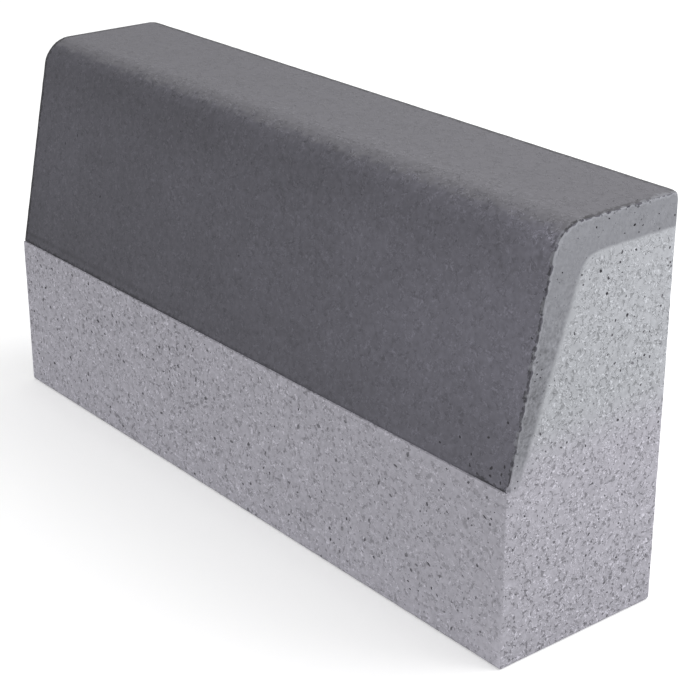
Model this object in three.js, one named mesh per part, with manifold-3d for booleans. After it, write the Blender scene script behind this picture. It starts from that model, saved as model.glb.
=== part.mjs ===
// A two-layer precast concrete kerb stone.
//
// The stone is one casting of two concretes. The backing concrete makes the
// body and the upright plinth along the front. The facing layer, a finer and
// darker mix, covers the sloping front (the batter), the rounded nose and the
// top, and both layers show on the two end faces.
//
// Millimetres, +Z up. The stone stands on its base, with the origin at the
// middle of the base. X runs along the stone and the faced front looks to -Y.
// The section is drawn as (depth, height), which is (Y, Z) of the stone.

import * as THREE from 'three';
import { mergeVertices } from 'three/addons/utils/BufferGeometryUtils.js';
import Module from 'manifold-3d';

const wasm = await Module();
wasm.setup();

// Driving dimensions: the whole stone.
const LENGTH = 500;
const HEIGHT = 250;
const BASE_WIDTH = 120;
const TOP_WIDTH = 90;
const PLINTH_HEIGHT = 108;
const PLINTH_LEDGE = 0.8; // how far the plinth stands out past the facing's foot
const NOSE_RADIUS = 20; // between the batter and the top
const LONG_ARRIS_RADIUS = 2; // the other outer edges that run along the stone
const END_ARRIS_RADIUS = 1.2; // the edges around each end face

// Driving dimensions: the facing layer, on the same section.
const FACING_TOP_THICKNESS = 20;
const FACING_HEAD_THICKNESS = 25; // level, behind the batter, just under the top
const FACING_FOOT_THICKNESS = 8; // level, behind the batter's foot
const FACING_FOOT_RISE = 2.5; // how far the foot's underside climbs going back
const FACING_INNER_RADIUS = 15; // inside the nose

// How finely the round shapes are faceted.
const ARC_STEPS = 7;
const ARRIS_STEPS = 3;

// How far the tool that parts the layers reaches past the stone.
const CUTTER_OVERRUN = 10;

// Vertices nearer than this are one vertex.
const WELD_DISTANCE = 0.001;

const FRONT = -BASE_WIDTH / 2;
const BACK = BASE_WIDTH / 2;
const BATTER_FOOT = new THREE.Vector2(FRONT + PLINTH_LEDGE, PLINTH_HEIGHT);
const BATTER_HEAD = new THREE.Vector2(BACK - TOP_WIDTH, HEIGHT);

// Turns a shape's x, y and extrusion direction into the stone's Y, Z and X.
const SECTION_TO_STONE = new THREE.Matrix4().makeBasis(
  new THREE.Vector3(0, 1, 0),
  new THREE.Vector3(0, 0, 1),
  new THREE.Vector3(1, 0, 0),
);

// The depth of the batter's surface at a height.
function batterDepthAt(height) {
  const climb = (height - BATTER_FOOT.y) / (BATTER_HEAD.y - BATTER_FOOT.y);
  return THREE.MathUtils.lerp(BATTER_FOOT.x, BATTER_HEAD.x, climb);
}

function corner(depth, height, radius = 0) {
  return { point: new THREE.Vector2(depth, height), radius };
}

// A closed outline through the corners. A corner with a radius is rounded by
// the arc that touches both of its sides.
function roundedOutline(corners) {
  const outline = new THREE.Shape();
  corners.forEach(({ point, radius }, index) => {
    const before = corners.at(index - 1).point.clone().sub(point).normalize();
    const after = corners.at((index + 1) % corners.length).point.clone().sub(point).normalize();
    const halfAngle = Math.acos(before.dot(after)) / 2;
    const start = point.clone().addScaledVector(before, radius / Math.tan(halfAngle));
    if (index === 0) {
      outline.moveTo(start.x, start.y);
    } else {
      outline.lineTo(start.x, start.y);
    }
    if (radius > 0) {
      const end = point.clone().addScaledVector(after, radius / Math.tan(halfAngle));
      const inwards = before.clone().add(after).normalize();
      const centre = point.clone().addScaledVector(inwards, radius / Math.sin(halfAngle));
      const startAngle = start.sub(centre).angle();
      const endAngle = end.sub(centre).angle();
      outline.absarc(centre.x, centre.y, radius, startAngle, endAngle, before.cross(after) > 0);
    }
  });
  outline.closePath();
  return outline;
}

// An outline drawn out along the stone, centred on its middle, with the edges
// around its two ends rounded by the arris radius.
function drawOut(outline, length, arrisRadius = 0) {
  const geometry = new THREE.ExtrudeGeometry(outline, {
    depth: length - 2 * arrisRadius,
    curveSegments: ARC_STEPS,
    bevelEnabled: arrisRadius > 0,
    bevelThickness: arrisRadius,
    bevelSize: arrisRadius,
    bevelOffset: -arrisRadius,
    bevelSegments: ARRIS_STEPS,
  });
  geometry.translate(0, 0, arrisRadius - length / 2);
  geometry.applyMatrix4(SECTION_TO_STONE);
  return geometry;
}

function toSolid(geometry) {
  geometry.deleteAttribute('normal');
  geometry.deleteAttribute('uv');
  const welded = mergeVertices(geometry, WELD_DISTANCE);
  return new wasm.Manifold(new wasm.Mesh({
    numProp: 3,
    vertProperties: welded.attributes.position.array,
    triVerts: Uint32Array.from(welded.index.array),
  }));
}

function toGeometry(solid) {
  const { vertProperties, triVerts } = solid.getMesh();
  const geometry = new THREE.BufferGeometry();
  geometry.setAttribute('position', new THREE.BufferAttribute(vertProperties, 3));
  geometry.setIndex(new THREE.BufferAttribute(triVerts, 1));
  geometry.computeVertexNormals();
  return geometry;
}

function namedMesh(name, solid, color) {
  const material = new THREE.MeshStandardMaterial({ color, roughness: 0.9, metalness: 0 });
  const mesh = new THREE.Mesh(toGeometry(solid), material);
  mesh.name = name;
  return mesh;
}

// The whole stone, before it is parted into its two concretes.
const stoneOutline = roundedOutline([
  corner(FRONT, 0, LONG_ARRIS_RADIUS),
  corner(BACK, 0, LONG_ARRIS_RADIUS),
  corner(BACK, HEIGHT, LONG_ARRIS_RADIUS),
  corner(BATTER_HEAD.x, BATTER_HEAD.y, NOSE_RADIUS),
  corner(BATTER_FOOT.x, BATTER_FOOT.y),
  corner(FRONT, PLINTH_HEIGHT),
]);
const stone = toSolid(drawOut(stoneOutline, LENGTH, END_ARRIS_RADIUS));

// Everything on the facing's side of the surface where the two concretes meet.
// That surface starts on the ledge, climbs behind the batter, turns inside the
// nose and runs level to the back.
const facingUnderside = HEIGHT - FACING_TOP_THICKNESS;
const facingZoneOutline = roundedOutline([
  corner(BATTER_FOOT.x, BATTER_FOOT.y),
  corner(BATTER_FOOT.x + FACING_FOOT_THICKNESS, BATTER_FOOT.y + FACING_FOOT_RISE),
  corner(batterDepthAt(facingUnderside) + FACING_HEAD_THICKNESS, facingUnderside, FACING_INNER_RADIUS),
  corner(BACK + CUTTER_OVERRUN, facingUnderside),
  corner(BACK + CUTTER_OVERRUN, HEIGHT + CUTTER_OVERRUN),
  corner(FRONT - CUTTER_OVERRUN, HEIGHT + CUTTER_OVERRUN),
  corner(FRONT - CUTTER_OVERRUN, PLINTH_HEIGHT + CUTTER_OVERRUN),
]);
const facingZone = toSolid(drawOut(facingZoneOutline, LENGTH + 2 * CUTTER_OVERRUN));

const kerbStone = new THREE.Group();
kerbStone.name = 'kerb_stone';
kerbStone.add(namedMesh('backing_concrete', stone.subtract(facingZone), 0xafaeb5));
kerbStone.add(namedMesh('facing_layer', stone.intersect(facingZone), 0x66656b));

export default kerbStone;
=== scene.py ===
"""A concrete kerb stone: dark facing mortar pressed over pale backing concrete, in a soft studio.

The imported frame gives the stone's box and its two layers. The script casts the stone again as one fine
mesh, presses the ledge of the joint into it, wears its arrises, opens its air voids, and then parts it
along the face where the two concretes meet. Lengths are in millimetres unless a name says otherwise, and
each finished mesh is scaled to metres at the end.
"""

import logging
import math
import random
from collections.abc import Iterable
from dataclasses import dataclass, field
from enum import Enum, IntEnum
from itertools import product

import bmesh
import bpy
from bmesh.types import BMEdge, BMesh, BMVert
from bpy.types import Camera, Light, Material, Mesh, Node, NodeSocket, Object, World
from mathutils import Euler, Matrix, Vector, noise


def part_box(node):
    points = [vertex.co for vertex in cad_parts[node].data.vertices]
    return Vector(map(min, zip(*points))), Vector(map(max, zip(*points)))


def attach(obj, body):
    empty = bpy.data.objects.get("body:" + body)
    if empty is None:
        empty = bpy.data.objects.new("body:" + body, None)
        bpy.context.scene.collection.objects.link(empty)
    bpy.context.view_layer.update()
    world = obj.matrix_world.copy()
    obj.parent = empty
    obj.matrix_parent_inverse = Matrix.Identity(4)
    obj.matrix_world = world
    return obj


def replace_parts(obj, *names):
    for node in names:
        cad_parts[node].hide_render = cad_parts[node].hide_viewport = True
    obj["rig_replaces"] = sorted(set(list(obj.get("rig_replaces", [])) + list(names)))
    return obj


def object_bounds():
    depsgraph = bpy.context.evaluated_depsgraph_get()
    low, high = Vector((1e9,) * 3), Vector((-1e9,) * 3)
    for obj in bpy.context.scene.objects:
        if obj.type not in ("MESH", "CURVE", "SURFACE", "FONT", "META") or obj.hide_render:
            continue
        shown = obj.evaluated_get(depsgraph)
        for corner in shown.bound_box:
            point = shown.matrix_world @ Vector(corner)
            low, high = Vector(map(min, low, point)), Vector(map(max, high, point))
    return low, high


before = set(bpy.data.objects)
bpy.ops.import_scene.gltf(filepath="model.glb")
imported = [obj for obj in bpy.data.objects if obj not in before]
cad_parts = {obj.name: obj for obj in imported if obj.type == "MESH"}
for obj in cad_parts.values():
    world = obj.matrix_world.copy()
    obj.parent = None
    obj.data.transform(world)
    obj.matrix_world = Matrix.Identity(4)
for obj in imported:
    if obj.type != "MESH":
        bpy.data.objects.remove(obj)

Pair = tuple[float, float]
Triple = tuple[float, float, float]
# A ramp's near end and its far end, then its values at both where it doesn't run from 0 to 1.
Ramp = tuple[float, ...]

CAD_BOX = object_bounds()
BODY = "root"
METRES_PER_MM = 0.001
SEED = 2024
# Lengths closer than NEARLY count as the same, and a cut closer than TOUCHING to a corner runs through it.
NEARLY = 0.01
TOUCHING = 1e-5
X_AXIS, Y_AXIS, Z_AXIS = Vector((1, 0, 0)), Vector((0, 1, 0)), Vector((0, 0, 1))

log = logging.getLogger("kerb_stone")


class Layer(Enum):
    """The two concretes of the casting, by the names of their nodes and material slots."""

    BACKING = "backing_concrete"
    FACING = "facing_layer"


class Skin(IntEnum):
    """What a face of the fine mesh is, as its material index."""

    MOULDED = 0
    CUT_END = 1
    VOID_WALL = 2


# --- The stone's section ---


@dataclass(frozen=True)
class Section:
    """The kerb's cross-section: Y is the depth, from the front at its low end, and Z is the height."""

    left: float
    right: float
    front: float
    back: float
    top: float
    joint_height: float
    ledge: float
    backing_top: float
    top_width: float = 90.0
    nose_radius: float = 20.0
    long_arris: float = 2.0
    end_arris: float = 1.2
    facing_head: float = 25.0
    facing_foot: float = 8.0
    foot_rise: float = 2.5
    inner_radius: float = 15.0

    @classmethod
    def from_frame(cls) -> "Section":
        """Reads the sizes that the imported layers' boxes give.

        Returns:
            The section, in millimetres.
        """
        low, high = (corner / METRES_PER_MM for corner in CAD_BOX)
        facing_low, _ = (corner / METRES_PER_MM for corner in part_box(Layer.FACING.value))
        _, backing_high = (corner / METRES_PER_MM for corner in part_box(Layer.BACKING.value))
        return cls(
            left=low.x, right=high.x, front=low.y, back=high.y, top=high.z, joint_height=facing_low.z,
            ledge=facing_low.y - low.y, backing_top=backing_high.z,
        )

    @property
    def batter_head(self) -> float:
        """The depth at which the batter would meet the top, were the nose sharp."""
        return self.back - self.top_width

    def batter_depth(self, height: float) -> float:
        """The depth of the batter at a height above the joint, before its ledge is pressed in."""
        share = (height - self.joint_height) / (self.top - self.joint_height)
        return self.front + share * (self.batter_head - self.front)

    def facing_back(self, height: float) -> float:
        """Finds the back of the facing, behind the batter.

        Args:
            height: a height above the joint.

        Returns:
            The back's depth at that height.
        """
        low = self.joint_height + self.foot_rise
        share = (height - low) / (self.backing_top - low)
        foot = self.front + self.ledge + self.facing_foot
        head = self.batter_depth(self.backing_top) + self.facing_head
        return foot + share * (head - foot)

    def in_backing(self, depth: float, height: float, margin: float) -> bool:
        """Whether a point of the section lies in the backing, a margin away from the facing."""
        below_top = height < self.backing_top - margin and depth > self.facing_back(height) + margin
        return height < self.joint_height - margin or below_top


# --- The fine mesh ---


def unit_noise(place: Vector) -> float:
    """Smooth noise from 0 to 1."""
    return noise.noise(place) * 0.5 + 0.5


def cut_across(bm: BMesh, axis: Vector, places: Iterable[float]) -> None:
    """Cuts every face of a mesh along planes square to an axis.

    Args:
        bm: the mesh.
        axis: the axis.
        places: where on it the cuts go.
    """
    for place in places:
        everything = bm.verts[:] + bm.edges[:] + bm.faces[:]
        bmesh.ops.bisect_plane(bm, geom=everything, dist=TOUCHING, plane_co=axis * place, plane_no=axis)


def evenly(low: float, high: float, spacing: float) -> list[float]:
    """Places between two ends, about a spacing apart, without the ends themselves."""
    steps = max(1, round((high - low) / spacing))
    return [low + (high - low) * step / steps for step in range(1, steps)]


def prism(corners: list[Pair], left: float, right: float) -> BMesh:
    """Draws a closed outline out along X.

    Args:
        corners: the outline's (Y, Z) corners.
        left: X of its first end.
        right: X of its other end.

    Returns:
        A closed solid with its faces outwards.
    """
    bm = bmesh.new()
    rim = bm.faces.new([bm.verts.new((left, y, z)) for y, z in corners])
    drawn = bmesh.ops.extrude_face_region(bm, geom=[rim], use_keep_orig=True)
    moved = [part for part in drawn["geom"] if isinstance(part, BMVert)]
    bmesh.ops.translate(bm, verts=moved, vec=(right - left, 0.0, 0.0))
    bmesh.ops.recalc_face_normals(bm, faces=bm.faces[:])
    return bm


def round_edges(bm: BMesh, edges: list[BMEdge], setback: float, segments: int) -> None:
    """Rounds some edges of a mesh.

    Args:
        bm: the mesh.
        edges: the edges.
        setback: how far from each edge the rounding starts.
        segments: the rounding's faces.
    """
    bmesh.ops.bevel(
        bm, geom=edges, offset=setback, offset_type="OFFSET", segments=segments,
        profile=0.5, affect="EDGES", clamp_overlap=True, material=-1,
    )


def round_long_edge(bm: BMesh, depth: float, height: float, radius: float, segments: int) -> None:
    """Rounds the edge that runs along X through a point of the section.

    Args:
        bm: the mesh.
        depth: the edge's Y.
        height: the edge's Z.
        radius: the fillet's radius.
        segments: the fillet's faces.
    """
    found = [
        edge for edge in bm.edges
        if all(abs(v.co.y - depth) < NEARLY and abs(v.co.z - height) < NEARLY for v in edge.verts)
    ]
    round_edges(bm, found, radius * math.tan(found[0].calc_face_angle() / 2), segments)


def as_object(bm: BMesh, name: str) -> Object:
    """Stores a mesh in a new object at the origin and frees it.

    Args:
        bm: the mesh.
        name: the object's name.

    Returns:
        The object.
    """
    mesh = bpy.data.meshes.new(name)
    bm.to_mesh(mesh)
    bm.free()
    made = bpy.data.objects.new(name, mesh)
    bpy.context.scene.collection.objects.link(made)
    return made


def with_modifier(base: Object, kind: str, **settings: str | bool | int | Object) -> Mesh:
    """Works one modifier out, and takes it off again.

    Args:
        base: the object that is worked on.
        kind: the modifier's type.
        settings: the modifier's properties.

    Returns:
        A new mesh of the result.
    """
    modifier = base.modifiers.new(kind.lower(), kind)
    for name, value in settings.items():
        setattr(modifier, name, value)
    graph = bpy.context.evaluated_depsgraph_get()
    result = bpy.data.meshes.new_from_object(base.evaluated_get(graph))
    base.modifiers.remove(modifier)
    return result


def combined(base: Object, tool: Object, operation: str) -> Mesh:
    """Combines two closed solids. The faces that the tool cuts keep its material indexes."""
    return with_modifier(base, "BOOLEAN", operation=operation, solver="MANIFOLD", object=tool)


@dataclass
class CastStone:
    """The whole stone as it leaves its mould, before the layers are parted.

    The grid's rows are close together where the joint is pressed in, at heights above the joint.
    """

    section: Section
    grid_along: float = 4.0
    grid_across: float = 5.0
    nose_segments: int = 8
    arris_segments: int = 3
    groove_depth: float = 0.45
    groove_height: float = 1.3
    joint_rows: tuple[float, ...] = (0.15, 0.585, 1.3, 2.6)
    joint_rows_from: float = -1.0
    joint_rows_to: float = 4.0
    seam_height: float = 0.1
    pressed_arris: float = 1.5
    waviness: float = 0.16
    waviness_scale: float = 38.0
    arris_wear: float = 0.45
    arris_wear_scale: float = 5.5
    arris_wear_rarity: float = 1.5
    arris_sharpness: float = 5.0
    corner_wear: float = 1.3
    corner_reach: float = 6.0
    bm: BMesh | None = None

    def build(self) -> Object:
        """Makes the stone's fine mesh.

        Returns:
            A closed object in millimetres.
        """
        self._draw_block()
        self._cut_grid()
        self._press_ledge()
        self._wear()
        return as_object(self.bm, "whole_stone")

    def _draw_block(self) -> None:
        """Draws the stone with its nose and arrises rounded, in large faces."""
        s = self.section
        arrises = [(s.front, 0.0), (s.back, 0.0), (s.back, s.top)]
        nose, joint = (s.batter_head, s.top), (s.front, s.joint_height)
        self.bm = prism([*arrises, nose, joint], s.left, s.right)
        for arris in arrises:
            round_long_edge(self.bm, *arris, s.long_arris, self.arris_segments)
        round_long_edge(self.bm, *nose, s.nose_radius, self.nose_segments)
        rims = [
            edge for edge in self.bm.edges
            if any(all(abs(v.co.x - end) < NEARLY for v in edge.verts) for end in (s.left, s.right))
        ]
        round_edges(self.bm, rims, s.end_arris, self.arris_segments)

    def _cut_grid(self) -> None:
        """Cuts the large faces into a grid."""
        s = self.section
        low, high = s.joint_height + self.joint_rows_from, s.joint_height + self.joint_rows_to
        rows = [s.joint_height + row for row in self.joint_rows]
        clear = [z for z in evenly(0.0, s.top, self.grid_across) if not low < z < high]
        cut_across(self.bm, Y_AXIS, evenly(s.front, s.back, self.grid_across))
        cut_across(self.bm, Z_AXIS, rows + clear)
        cut_across(self.bm, X_AXIS, evenly(s.left, s.right, self.grid_along))

    def _press_ledge(self) -> None:
        """Sets the batter back behind the plinth, with a shallow groove at its foot."""
        s = self.section
        for vert in self.bm.verts:
            above = vert.co.z - s.joint_height
            below_nose = vert.co.z < s.top - s.nose_radius
            reach = self.pressed_arris * s.end_arris if below_nose else s.nose_radius
            if above < self.seam_height or vert.co.y - s.batter_depth(vert.co.z) > reach:
                continue
            share = above / (s.top - s.joint_height)
            groove = self.groove_depth * max(0.0, 1.0 - above / self.groove_height)
            vert.co.y += s.ledge * (1.0 - share) + groove

    def _wear(self) -> None:
        """Lowers the faces by a slow waviness, crumbles the arrises and blunts the upper back corners."""
        self.bm.normal_update()
        s = self.section
        batter = Vector((0.0, s.joint_height - s.top, s.batter_head - s.front)).normalized()
        flats = [X_AXIS, Y_AXIS, Z_AXIS, batter]
        corners = [Vector((x, s.back, s.top)) for x in (s.left, s.right)]
        moves = {}
        for vert in self.bm.verts:
            slow = unit_noise(vert.co / self.waviness_scale)
            roundness = 1.0 - max(abs(vert.normal.dot(flat)) for flat in flats)
            fine = unit_noise(vert.co / self.arris_wear_scale) ** self.arris_wear_rarity
            edge = min(1.0, roundness * self.arris_sharpness) * self.arris_wear * fine
            near_corner = max(0.0, 1.0 - min((vert.co - c).length for c in corners) / self.corner_reach)
            blunt = self.corner_wear * near_corner * near_corner
            moves[vert] = vert.normal * -(slow * self.waviness + edge + blunt)
        for vert, move in moves.items():
            vert.co += move


@dataclass(frozen=True)
class AirVoid:
    """One pocket of air or pulled-out grain, centred on the face and sunk a little into it."""

    centre: Vector
    inwards: Vector
    radius: float
    stretch: Iterable[float]
    sink: float
    skin: Skin = Skin.VOID_WALL


@dataclass(frozen=True)
class VoidZone:
    """A flat part of the stone's skin and how it is pitted."""

    corner: Vector
    across: Vector
    up: Vector
    inwards: Vector
    layer: Layer
    count: int
    smallest: float
    largest: float
    cluster: float = 11.0
    rarity: float = 2.0
    skin: Skin = Skin.VOID_WALL


# The right end's blowholes, by their depth behind the front, their height and their radius.
BLOWHOLES = (
    (62.5, 218.0, 1.35), (68.3, 204.0, 1.2), (85.0, 187.5, 1.3), (77.0, 219.5, 0.95), (88.8, 223.8, 0.9),
    (115.4, 218.8, 0.95), (82.5, 156.0, 0.9), (43.8, 125.0, 0.9), (109.5, 107.5, 0.9),
    (86.3, 238.0, 0.95), (57.5, 243.0, 0.75), (92.8, 236.4, 0.65), (90.0, 233.2, 0.6), (79.0, 235.0, 0.6),
    (104.7, 240.2, 0.65), (66.6, 245.8, 0.7), (117.4, 236.6, 0.7), (34.0, 224.0, 0.6),
    (19.2, 171.6, 0.75), (21.4, 169.2, 0.65), (17.8, 168.0, 0.6), (22.4, 173.4, 0.6),
)
# Small pits around the chip, by their depth behind the front, their rise above the joint and their radius.
PITS_BY_CHIP = ((6.4, 2.0, 0.8), (8.4, 5.4, 0.6), (4.0, -7.8, 0.6), (7.4, 14.5, 0.6))
# Pits in the batter, by their distance from the right end, their rise above the joint and their radius.
BATTER_PITS = (
    (14.5, 9.2, 1.25), (14.3, 5.2, 1.0), (5.4, 13.2, 1.0), (6.6, 8.6, 0.9), (6.2, 4.2, 0.9),
    (30.0, 5.1, 0.95), (30.5, 11.2, 0.85), (23.6, 2.9, 0.9), (20.5, 24.0, 0.85), (41.0, 17.0, 0.85),
    (9.0, 36.0, 0.85), (55.0, 9.0, 0.85),
)
# How each sort of large pocket is stretched along its face and into it, and how far it is sunk.
CHIP_SHAPE = ((1.0, 1.0, 1.0), 0.0)
BLOWHOLE_SHAPE = ((1.0, 0.8, 1.0), 0.35)
PIT_SHAPE = ((1.0, 1.0, 0.9), 0.1)
BATTER_PIT_SHAPE = ((1.2, 1.0, 0.8), -0.35)


@dataclass
class AirVoids:
    """All the pockets that the stone's skin shows: scattered ones and the few large ones."""

    section: Section
    chance: random.Random = field(default_factory=lambda: random.Random(SEED))
    cell: float = 4.0
    batch: int = 60
    lumpiness: float = 0.55
    lump_frequency: float = 1.7
    finer_above: float = 0.8
    chip_offset: Triple = (3.2, 2.0, 3.0)
    chip_radius: float = 6.5
    nicks_per_end: int = 30
    nick_radius: Pair = (0.5, 1.0)
    nick_stretch: Triple = (0.8, 1.3, 0.9)
    nick_from_corner: float = 8.0
    top_nicks: float = 0.5
    top_nick_drop: Pair = (0.6, 2.6)
    top_nick_sink: float = 0.15
    stretches: tuple[Pair, ...] = ((0.6, 1.0), (0.6, 1.0), (0.9, 1.5))
    sinks: Pair = (-0.15, 0.5)
    clear_of_arris: float = 1.8
    clear_of_nose: float = 12.0
    clear_of_layer: float = 1.2
    clear_below_joint: float = 1.0
    clear_above_joint: float = 2.5
    tries: int = 40
    spread: float = 0.45
    size_rarity: float = 3.2
    apart: float = 1.6
    nicks_apart: float = 1.2
    voids: list[AirVoid] = field(default_factory=list)
    taken: dict[tuple[int, ...], list[tuple[Vector, float]]] = field(default_factory=dict)

    def zones(self) -> list[VoidZone]:
        """Lists the skin's flat parts: the ends, the plinth, the batter, the top, the back and the base.

        Returns:
            The zones in the order in which they are pitted, each with its count of pockets and their radii.
        """
        s = self.section
        along, through, high = X_AXIS * (s.right - s.left), Y_AXIS * (s.back - s.front), Z_AXIS * s.top
        low_corner = Vector((s.left, s.front, 0.0))
        joint = Vector((s.left, s.front, s.joint_height))
        batter = Vector((0.0, s.batter_head - s.front, s.top - s.joint_height))
        into_batter = Vector((0.0, batter.z, -batter.y)).normalized()
        backing, facing = Layer.BACKING, Layer.FACING
        edge_pits = (facing, 46, 0.35, 0.8, 11.0, 3.5, Skin.CUT_END)
        return [
            VoidZone(low_corner + along, through, high, -X_AXIS, backing, 400, 0.4, 1.0),
            VoidZone(low_corner, through, high, X_AXIS, backing, 400, 0.4, 1.0),
            VoidZone(low_corner, along, Z_AXIS * s.joint_height, Y_AXIS, backing, 640, 0.4, 1.4),
            VoidZone(low_corner + through, along, high, -Y_AXIS, backing, 620, 0.45, 1.4),
            VoidZone(low_corner, along, through, Z_AXIS, backing, 240, 0.6, 2.0),
            VoidZone(low_corner + along, through, high, -X_AXIS, *edge_pits),
            VoidZone(low_corner, through, high, X_AXIS, *edge_pits),
            VoidZone(joint, along, batter, into_batter, facing, 170, 0.35, 0.9, rarity=4.0),
            VoidZone(low_corner + high, along, through, -Z_AXIS, facing, 30, 0.35, 0.6, rarity=4.0),
            VoidZone(low_corner + through, along, high, -Y_AXIS, facing, 30, 0.4, 0.8, rarity=3.5),
        ]

    def build(self) -> Object:
        """Makes the cutter that opens every pocket.

        Returns:
            An object of many small closed blobs, none touching another.
        """
        for void in self._large_voids() + self._arris_nicks():
            self._keep(void)
        for zone in self.zones():
            self._scatter(zone)
        cutter = bmesh.new()
        for start in range(0, len(self.voids), self.batch):
            part = bmesh.new()
            for void in self.voids[start:start + self.batch]:
                self._blob(part, void)
            mesh = bpy.data.meshes.new("void_batch")
            part.to_mesh(mesh)
            part.free()
            cutter.from_mesh(mesh)
            bpy.data.meshes.remove(mesh)
        return as_object(cutter, "void_cutter")

    def _large_voids(self) -> list[AirVoid]:
        """Places the blowholes and pits that stand out, and the chip where the right end meets the joint.

        Returns:
            The large pockets.
        """
        s = self.section
        into_batter = Vector((0.0, s.top - s.joint_height, s.front - s.batter_head)).normalized()
        outwards, forwards, upwards = self.chip_offset
        chip = Vector((s.right + outwards, s.front - forwards, s.joint_height + upwards))
        voids = [AirVoid(chip, -X_AXIS, self.chip_radius, *CHIP_SHAPE, Skin.CUT_END)]
        for depth, height, radius in BLOWHOLES:
            place = Vector((s.right, s.front + depth, height))
            voids.append(AirVoid(place, -X_AXIS, radius, *BLOWHOLE_SHAPE))
        for depth, rise, radius in PITS_BY_CHIP:
            place = Vector((s.right, s.front + depth, s.joint_height + rise))
            voids.append(AirVoid(place, -X_AXIS, radius, *PIT_SHAPE))
        for inset, rise, radius in BATTER_PITS:
            height = s.joint_height + rise
            place = Vector((s.right - inset, s.batter_depth(height) + s.ledge, height))
            voids.append(AirVoid(place, into_batter, radius, *BATTER_PIT_SHAPE))
        return voids

    def _arris_nicks(self) -> list[AirVoid]:
        """Throws small bites out of the arrises between the facing and the ends.

        Returns:
            The nicks.
        """
        s, margin = self.section, self.nick_from_corner
        nicks = []
        for end, inwards in ((s.left, X_AXIS), (s.right, -X_AXIS)):
            for _ in range(self.nicks_per_end):
                height = self.chance.uniform(s.joint_height + margin, s.top - s.nose_radius)
                place = Vector((end, s.batter_depth(height) + 0.5 * s.ledge, height))
                sink = 0.0
                if self.chance.random() < self.top_nicks:
                    depth = self.chance.triangular(s.batter_head + margin, s.back - margin)
                    place = Vector((end, depth, s.top - self.chance.uniform(*self.top_nick_drop)))
                    sink = self.top_nick_sink
                radius = self.chance.uniform(*self.nick_radius)
                nicks.append(AirVoid(place, inwards, radius, self.nick_stretch, sink, Skin.CUT_END))
        return nicks

    def _on_layer(self, spot: Vector, layer: Layer) -> bool:
        """Whether a pocket may open at a spot.

        Args:
            spot: the spot.
            layer: the concrete that the pocket belongs to.

        Returns:
            Whether the spot is on the stone, clear of its arrises and its nose, and on that layer.
        """
        s, clear = self.section, self.clear_of_arris
        front = s.batter_depth(max(spot.z, s.joint_height))
        on_end = min(abs(spot.x - s.left), abs(spot.x - s.right)) < NEARLY
        by_arris = spot.y < front + clear if on_end else not s.left + clear < spot.x < s.right - clear
        reach = self.clear_of_nose if on_end else s.nose_radius
        if by_arris or (spot.z > s.top - reach and spot.y < s.batter_head + reach):
            return False
        if layer is Layer.FACING:
            in_facing = not s.in_backing(spot.y, spot.z, -self.clear_of_layer)
            return in_facing and spot.z > s.joint_height + self.clear_above_joint
        on_plinth = spot.y < front + NEARLY and spot.z < s.joint_height - self.clear_below_joint
        return on_plinth or s.in_backing(spot.y, spot.z, self.clear_of_layer)

    def _scatter(self, zone: VoidZone) -> None:
        """Throws pockets, gathered in clusters and never overlapping.

        Args:
            zone: the part of the skin that gets them.
        """
        uniform = self.chance.uniform
        placed = 0
        for _ in range(zone.count * self.tries):
            if placed == zone.count:
                break
            u, v = self.chance.random(), self.chance.random()
            spot = zone.corner + zone.across * u + zone.up * v
            thick = unit_noise(spot / zone.cluster)
            kept_here = thick ** zone.rarity > self.chance.random() * self.spread
            share = self.chance.random() ** self.size_rarity
            radius = zone.smallest + share * (zone.largest - zone.smallest)
            stretch = [uniform(*ends) for ends in self.stretches]
            sink = uniform(*self.sinks)
            if kept_here and self._on_layer(spot, zone.layer):
                placed += self._keep(AirVoid(spot, zone.inwards, radius, stretch, sink, zone.skin))

    def _keep(self, void: AirVoid) -> bool:
        """Keeps a pocket if it is clear of those already there.

        Args:
            void: the new pocket.

        Returns:
            Whether it was kept.
        """
        reach = void.radius * (self.nicks_apart if void.skin is Skin.CUT_END else self.apart)
        home = tuple(int(c // self.cell) for c in void.centre)
        for step in product((-1, 0, 1), repeat=3):
            near = self.taken.get(tuple(a + b for a, b in zip(home, step)), [])
            if any((void.centre - centre).length < reach + other for centre, other in near):
                return False
        self.taken.setdefault(home, []).append((void.centre, reach))
        self.voids.append(void)
        return True

    def _blob(self, bm: BMesh, void: AirVoid) -> None:
        """Adds one pocket's lumpy cutter to a mesh.

        Args:
            bm: the mesh.
            void: the pocket.
        """
        turn = Euler([self.chance.uniform(0.0, math.tau) for _ in range(3)]).to_matrix().to_4x4()
        tilt = Matrix.Rotation(self.chance.uniform(0.0, math.tau), 4, void.inwards)
        place = Matrix.Translation(void.centre + void.inwards * void.radius * void.sink)
        size = Matrix.Diagonal((*[void.radius * part for part in void.stretch], 1.0))
        detail = 2 if void.radius > self.finer_above else 1
        blob = bmesh.ops.create_icosphere(bm, subdivisions=detail, radius=1.0, matrix=turn)
        for face in {face for vert in blob["verts"] for face in vert.link_faces}:
            face.material_index = void.skin
        for vert in blob["verts"]:
            vert.co *= 1.0 + self.lumpiness * noise.noise(vert.co * self.lump_frequency + void.centre)
        bmesh.ops.transform(bm, matrix=place @ tilt @ size, verts=blob["verts"])


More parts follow.
